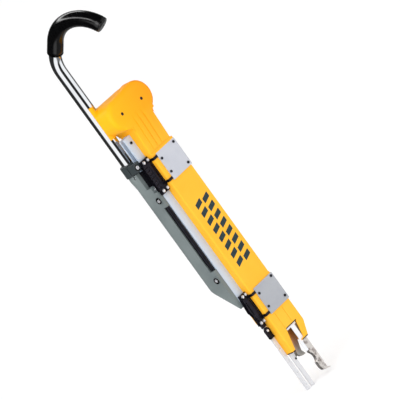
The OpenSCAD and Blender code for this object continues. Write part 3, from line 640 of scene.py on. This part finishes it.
def tube_mesh(name, frames, radii, sides, closed_ends=True):
    """Skin of round rings. A frame is (centre, one radial direction, the other)."""
    bm = bmesh.new()
    rings = []
    for (centre, first, second), radius in zip(frames, radii):
        ring = []
        for i in range(sides):
            turn = math.tau * i / sides
            ring.append(
                bm.verts.new(centre + radius * (math.cos(turn) * first + math.sin(turn) * second))
            )
        rings.append(ring)
    for low, high in zip(rings, rings[1:]):
        for i in range(sides):
            j = (i + 1) % sides
            bm.faces.new((low[i], low[j], high[j], high[i]))
    if closed_ends:
        bm.faces.new(rings[0][::-1])
        bm.faces.new(rings[-1])
    else:
        low, high = rings[-1], rings[0]
        for i in range(sides):
            j = (i + 1) % sides
            bm.faces.new((low[i], low[j], high[j], high[i]))
    bmesh.ops.recalc_face_normals(bm, faces=bm.faces)
    return mesh_of(bm, name)


# ------------------------------------------------------------------ handle

TUBE_AXIS = Vector((-0.058, 0.036, 0.0))
TUBE_R = 0.0145
TUBE_BORE_R = 0.0125
TUBE_SLOT_Z = (0.640, 0.670)
TUBE_SLOT_W = 0.004
TUBE_LOW_Z = 0.330
BEND_Z = 0.897
BEND_R = 0.065
BEND_ANGLE = math.radians(43.0)
REACH = 0.033
CROWN_REAR_R = 0.084
CROWN_FRONT_R = 0.096
CROWN_FALL = math.radians(57.0)
HOOK_TURN = math.radians(83.0)
GRIP_R = 0.0185
TUBE_SHORT = 0.0085
HOOK_OUT = Vector((math.cos(HOOK_TURN), -math.sin(HOOK_TURN), 0.0))
HOOK_SIDE = HOOK_OUT.cross(Vector((0.0, 0.0, 1.0)))

# Stretches of the tube's centre line: length, and radius of its bend or None where it is straight
STRETCHES = [
    (BEND_Z - TUBE_LOW_Z, None),
    (BEND_R * BEND_ANGLE, BEND_R),
    (REACH, None),
    (CROWN_REAR_R * (math.pi / 2 - BEND_ANGLE), CROWN_REAR_R),
    (CROWN_FRONT_R * CROWN_FALL, CROWN_FRONT_R),
]
GRIP_FROM = STRETCHES[0][0] + STRETCHES[1][0]
HOOK_LENGTH = sum(length for length, _ in STRETCHES)


def hook_frame(run):
    """Centre and two radial directions of the tube, at a distance along its centre line."""
    out, height, tilt = 0.0, TUBE_LOW_Z, 0.0
    left = run
    for length, radius in STRETCHES:
        step = min(max(left, 0.0), length)
        left -= length
        if radius is None:
            out += step * math.sin(tilt)
            height += step * math.cos(tilt)
        else:
            turned = tilt + step / radius
            out += radius * (math.cos(tilt) - math.cos(turned))
            height += radius * (math.sin(turned) - math.sin(tilt))
            tilt = turned
    if left > 0.0:
        out += left * math.sin(tilt)
        height += left * math.cos(tilt)
    centre = TUBE_AXIS + HOOK_OUT * out + Vector((0.0, 0.0, height))
    radial = HOOK_OUT * math.cos(tilt) - Vector((0.0, 0.0, math.sin(tilt)))
    return centre, radial, HOOK_SIDE


def runs(low, high, spacing):
    """Even steps along the tube from low to high."""
    count = max(1, round((high - low) / spacing))
    return [low + (high - low) * i / count for i in range(count + 1)]


def with_slot(name, whole, middle, half):
    """Copy of a closed mesh with an upright round-ended slot cut through its wall along Y."""
    sides = 24
    outline = []
    for i in range(sides):
        turn = math.tau * i / sides
        shift = half.z - half.x if math.sin(turn) > 0 else half.x - half.z
        outline.append((half.x * math.cos(turn), half.x * math.sin(turn) + shift))
    bm = bmesh.new()
    add_prism(
        bm,
        [middle + Vector((x, -half.y, z)) for x, z in outline],
        [middle + Vector((x, half.y, z)) for x, z in outline],
    )
    bmesh.ops.recalc_face_normals(bm, faces=bm.faces)
    cutter_mesh = mesh_of(bm, "slot_cutter")
    cutter = bpy.data.objects.new("slot_cutter", cutter_mesh)
    body = bpy.data.objects.new("slot_body", whole)
    for made in (cutter, body):
        bpy.context.scene.collection.objects.link(made)
    cut = body.modifiers.new("slot", "BOOLEAN")
    cut.operation = "DIFFERENCE"
    cut.solver = "EXACT"
    cut.object = cutter
    bpy.context.view_layer.update()
    seen = body.evaluated_get(bpy.context.evaluated_depsgraph_get())
    mesh = bpy.data.meshes.new_from_object(seen)
    mesh.name = name
    for made in (cutter, body):
        bpy.data.objects.remove(made)
    for spare in (cutter_mesh, whole):
        bpy.data.meshes.remove(spare)
    smooth(mesh)
    return mesh


def make_tube():
    """Bent chrome tube with a small lip at its lower end and a slot in its front."""
    ends = HOOK_LENGTH - TUBE_SHORT
    outside = runs(0.0, ends, 0.006)
    inside = outside[::-1]
    lip = 0.0006
    profile = [(0.0, TUBE_R - lip)] + [(run + lip * (run == 0.0), TUBE_R) for run in outside]
    profile += [(run, TUBE_BORE_R) for run in inside]
    frames = [hook_frame(run) for run, _ in profile]
    whole = tube_mesh("handle_tube_whole", frames, [r for _, r in profile], 64, False)
    # The cutter starts in front of the tube and ends inside its bore
    cutter_y = TUBE_AXIS.y - TUBE_R * 1.4
    middle = Vector((TUBE_AXIS.x, cutter_y, sum(TUBE_SLOT_Z) / 2))
    half = Vector((TUBE_SLOT_W / 2, TUBE_R, (TUBE_SLOT_Z[1] - TUBE_SLOT_Z[0]) / 2))
    mesh = with_slot("handle_tube_skin", whole, middle, half)
    piece = new_piece("handle_tube_skin", mesh, "handle_frame", "chrome_tube")
    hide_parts("handle_tube")


def make_grip():
    """Rubber sleeve with a bead at each end, where its skin folds back over itself."""
    lip_r = 0.0042
    rim_r = 0.0022
    steps = 8
    corner = [math.pi / 2 * i / steps for i in range(steps + 1)]
    # Both roundings run against the profile's own direction, which is what makes the folds
    low = [
        (GRIP_FROM + lip_r * (1 - math.sin(a)), GRIP_R - lip_r * (1 - math.cos(a))) for a in corner
    ]
    high = [
        (HOOK_LENGTH - rim_r * (1 - math.sin(a)), GRIP_R - rim_r * (1 - math.cos(a)))
        for a in corner[::-1]
    ]
    body = [(run, GRIP_R) for run in runs(GRIP_FROM + lip_r, HOOK_LENGTH - rim_r, 0.004)[1:-1]]
    bore = TUBE_R + 0.0001
    profile = [(GRIP_FROM, bore)] + low + body + high + [(HOOK_LENGTH, bore)]
    profile += [(run, bore) for run in runs(GRIP_FROM, HOOK_LENGTH, 0.006)[::-1][1:-1]]
    frames = [hook_frame(run) for run, _ in profile]
    mesh = tube_mesh("grip_sleeve_skin", frames, [r for _, r in profile], 64, False)
    piece = new_piece("grip_sleeve_skin", mesh, "handle_frame", "grip_rubber")
    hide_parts("grip_sleeve")


def make_grip_plug():
    """Domed plug with a stepped rim and a small moulded dimple in its middle."""
    profile = [
        (-0.006, 0.0), (-0.006, 0.0136), (0.0, 0.0138), (0.0, 0.0176), (0.0008, 0.0179),
        (0.0018, 0.0176), (0.0024, 0.0168), (0.0025, 0.0150), (0.0021, 0.0142),
        (0.0026, 0.0134), (0.0033, 0.0110), (0.0038, 0.0070), (0.0040, 0.0038),
        (0.0034, 0.0026), (0.0031, 0.0),
    ]
    frames = [hook_frame(HOOK_LENGTH + rise) for rise, _ in profile]
    least_r = 0.00005
    radii = [max(radius, least_r) for _, radius in profile]
    mesh = tube_mesh("grip_end_plug_skin", frames, radii, 64)
    piece = new_piece("grip_end_plug_skin", mesh, "handle_frame", "grip_rubber")
    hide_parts("grip_end_plug")


# ------------------------------------------------------------------ springs


def coil_frames(axis, low, high, turns, mean_r, steps):
    """Frames along a coil about a vertical axis, with its end turns lying nearly flat."""
    flattening = 0.35
    frames = []
    count = round(turns * steps)
    for i in range(count + 1):
        share = i / count
        eased = share - flattening * math.sin(math.tau * share) / math.tau
        turn = math.tau * turns * share
        radial = Vector((math.cos(turn), math.sin(turn), 0.0))
        centre = Vector((axis[0], axis[1], low + (high - low) * eased)) + mean_r * radial
        frames.append((centre, radial, Vector((0.0, 0.0, 1.0))))
    return frames


def make_return_spring():
    """Coil of round wire in place of the plain one on the rod beside the tube."""
    low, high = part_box("return_spring")
    wire = 0.0008
    turns = 18
    mean_r = (high.x - low.x) / 2 - wire
    axis = ((low.x + high.x) / 2, (low.y + high.y) / 2)
    frames = coil_frames(axis, low.z + wire, high.z - wire, turns, mean_r, 28)
    mesh = tube_mesh("return_spring_coil", frames, [wire] * len(frames), 10)
    piece = new_piece("return_spring_coil", mesh, "handle_frame", "black_steel")
    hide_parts("return_spring")
    shorten(piece)


def shorten(piece):
    """Gives a spring's piece its own copy of its mesh."""
    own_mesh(piece)


# ------------------------------------------------------------------ small trims, some of them painted shade


def make_ring(name, centre, outward, inner_r, outer_r, thickness, body, slot_name):
    """Flat ring with rounded rims that lies against a face, round a bolt head."""
    axis = Vector(outward)
    first = axis.orthogonal().normalized()
    second = axis.cross(first)
    rim = thickness * 0.4
    profile = [
        (0.0, inner_r), (thickness - rim, inner_r), (thickness, inner_r + rim),
        (thickness, outer_r - rim), (thickness - rim, outer_r), (0.0, outer_r),
    ]
    frames = [(Vector(centre) + axis * rise, first, second) for rise, _ in profile]
    mesh = tube_mesh(name, frames, [radius for _, radius in profile], 48, False)
    return new_piece(name, mesh, body, slot_name)


def make_bolt_shade_rings():
    """Black rings round the heads of the carriage's bolts, a little under their faces: painted shade of
    the recess round each head.
    """
    head_r = 0.004
    roller_ring_depth = 0.0016
    clamp_ring_depth = 0.0022
    low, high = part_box("roller_bolts")
    # Painted shade: these black rings stand for the dark recess round each bolt head.
    for label, z in (("upper", high.z - head_r), ("lower", low.z + head_r)):
        centre = (low.x + roller_ring_depth, (low.y + high.y) / 2, z)
        make_ring(
            f"roller_bolt_shade_ring_{label}", centre, (-1, 0, 0), 0.0042, 0.0078, 0.0011,
            "handle_frame", "grip_rubber",
        )
    low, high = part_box("tube_clamp_bolt")
    centre = ((low.x + high.x) / 2, low.y + clamp_ring_depth, (low.z + high.z) / 2)
    make_ring(
        "clamp_bolt_shade_ring", centre, (0, -1, 0), 0.0046, 0.0071, 0.0009, "handle_frame",
        "grip_rubber",
    )


def make_front_bar(name, x_range, low_z, high_z, front_y, thickness):
    """Thin black bar on the housing's front, with softened edges."""
    (left, right), back_y = x_range, front_y + thickness
    outline = [(left, low_z), (right, low_z), (right, high_z), (left, high_z)]
    bm = bmesh.new()
    add_prism(
        bm, [(x, front_y, z) for x, z in outline], [(x, back_y, z) for x, z in outline]
    )
    bmesh.ops.recalc_face_normals(bm, faces=bm.faces)
    bevel(bm, bm.edges[:], thickness * 0.3, 2)
    return new_piece(name, mesh_of(bm, name), "housing", "grip_rubber")


def make_block(name, low, high, edge, body, slot_name):
    """Box between two corners, with rounded edges."""
    bm = bmesh.new()
    bmesh.ops.create_cube(bm, size=1.0)
    for vert in bm.verts:
        vert.co = Vector(high[k] if vert.co[k] > 0 else low[k] for k in range(3))
    bevel(bm, bm.edges[:], edge, 3)
    return new_piece(name, mesh_of(bm, name), body, slot_name)


def make_nose_shade_strips():
    """Black strips, in the grip's rubber, along the lower edges of the nose's front and over its
    window: painted shade along these edges.
    """
    front_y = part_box("nose_front_shell")[0].y - 0.0004
    tall = 0.0022
    thickness = 0.0012
    # Painted shade: thin dark strips where the shell's lower edges and the window's top edge lie in
    # shadow.
    shade_lines = {
        "window_shade_strip": ((-0.0165, 0.0225), 0.1395),
        "left_prong_shade_strip": ((-0.0375, -0.0300), 0.0898),
        "right_prong_shade_strip": ((0.0040, 0.0252), 0.0958),
    }
    for name, (x_range, z) in shade_lines.items():
        make_front_bar(name, x_range, z, z + tall, front_y, thickness)


def make_side_shade_strip():
    """Black strip along the lower edge of the nose's left side: painted shade along that edge."""
    # Painted shade: a dark strip where the left side's lower edge lies in shadow.
    make_block(
        "left_prong_side_shade_strip", (-0.0399, -0.0248, 0.0898), (-0.0388, -0.0050, 0.0920), 0.0003,
        "housing", "grip_rubber",
    )


def make_bracket_trims():
    """Black pads on the brackets' faces, and a black guard beside the rail, which rides on the
    carriage; the guard is painted shade for the dark recess between casting and bracket.
    """
    edge = 0.0005
    blocks = {
        "upper_bracket_pad": ((-0.0537, -0.0127, 0.5705), (-0.0431, -0.0115, 0.6195), "housing"),
        "lower_bracket_pad": ((-0.0507, -0.0146, 0.2025), (-0.0443, -0.0134, 0.2435), "housing"),
        # The rail guard is painted shade: it covers the rail where the casting's recess lies in shade.
        "rail_shade_guard": ((-0.0637, -0.0046, 0.5770), (-0.0624, 0.0163, 0.6174), "handle_frame"),
    }
    for name, (low, high, body) in blocks.items():
        make_block(name, low, high, edge, body, "black_bracket")


# ------------------------------------------------------------------ generic mark on the front cover


def make_front_mark():
    """Two columns of plain slanted bars, printed in dark ink on the front cover."""
    face_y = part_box("main_front_cover")[0].y
    film = 0.00015
    bottom = 0.315
    pitch = 0.0225
    bar_w, bar_h, slant = 0.022, 0.0125, 0.007
    bars = 8
    bm = bmesh.new()
    for left in (-0.021, 0.0065):
        right = left + bar_w
        for i in range(bars):
            z = bottom + i * pitch
            outline = [
                (left, z), (right, z + slant), (right, z + slant + bar_h), (left, z + bar_h),
            ]
            add_prism(
                bm,
                [(x, face_y - film, height) for x, height in outline],
                [(x, face_y + film, height) for x, height in outline],
            )
    bmesh.ops.recalc_face_normals(bm, faces=bm.faces)
    new_piece("front_mark", mesh_of(bm, "front_mark"), "housing", "black_steel", printed_ink())


# ------------------------------------------------------------------ floor


def make_floor():
    """Wide pale floor that polished parts don't mirror."""
    size = 60.0
    mesh = bpy.data.meshes.new("floor")
    corners = [(-size, -size, 0), (size, -size, 0), (size, size, 0), (-size, size, 0)]
    mesh.from_pydata([Vector(corner) for corner in corners], [], [(0, 1, 2, 3)])
    floor = bpy.data.objects.new("floor", mesh)
    bpy.context.scene.collection.objects.link(floor)
    mesh.materials.append(floor_paint())
    floor.visible_glossy = False


# ------------------------------------------------------------------ assembly


def head_outline(face_y):
    """Test for the outline edges of the head's front or back face, clear of the screw holes."""
    plane_reach = 0.0001
    lobe_low_z = 0.7145
    screws = [Vector((x, 0.0, 0.748)) for x in (-0.041, 0.030)]
    screw_reach = 0.01

    def on_outline(edge):
        for vert in edge.verts:
            if abs(vert.co.y - face_y) > plane_reach or vert.co.z < lobe_low_z:
                return False
            flat = Vector((vert.co.x, 0.0, vert.co.z))
            if min((flat - screw).length for screw in screws) < screw_reach:
                return False
        return True

    return on_outline


# Width of the rounding on each CAD node's edges; the others take DEFAULT_EDGE
DEFAULT_EDGE = 0.0003
EDGES = {
    "head_front_shell": 0.0007,
    "head_back_shell": 0.0007,
    "main_front_cover": 0.0007,
    "main_back_cover": 0.0007,
    "nose_front_shell": 0.0006,
    "nose_back_shell": 0.0006,
    "carriage_casting": 0.0010,
    "tube_clamp": 0.0010,
    "upper_bracket": 0.0007,
    "lower_bracket": 0.0007,
    "upper_clamp_plate": 0.0004,
    "lower_clamp_plate": 0.0004,
    "hook_jaw": 0.0008,
    "tie_jaw": 0.0005,
    "latch_lever": 0.0006,
}
# Larger roundings that go first: (radius, test of the edges)
HEAD_HALF_DEPTH = 0.030
ROUNDED = {
    "head_front_shell": [(0.010, head_outline(-HEAD_HALF_DEPTH))],
    "head_back_shell": [(0.007, head_outline(HEAD_HALF_DEPTH))],
}
BUILT_ANEW = {"handle_tube", "grip_sleeve", "grip_end_plug", "return_spring"}

bpy.context.scene.view_settings.view_transform = "Standard"
make_camera()
make_world()
make_key_light()
make_floor()
materials = make_materials()
make_tube()
make_grip()
make_grip_plug()
make_return_spring()
make_bolt_shade_rings()
make_nose_shade_strips()
make_bracket_trims()
make_side_shade_strip()
make_front_mark()
skins = {
    name: dressed(name, EDGES.get(name, DEFAULT_EDGE), ROUNDED.get(name, ()))
    for name in sorted(frame["nodes"])
    if name not in BUILT_ANEW
}
shorten(skins["follower_spring"])
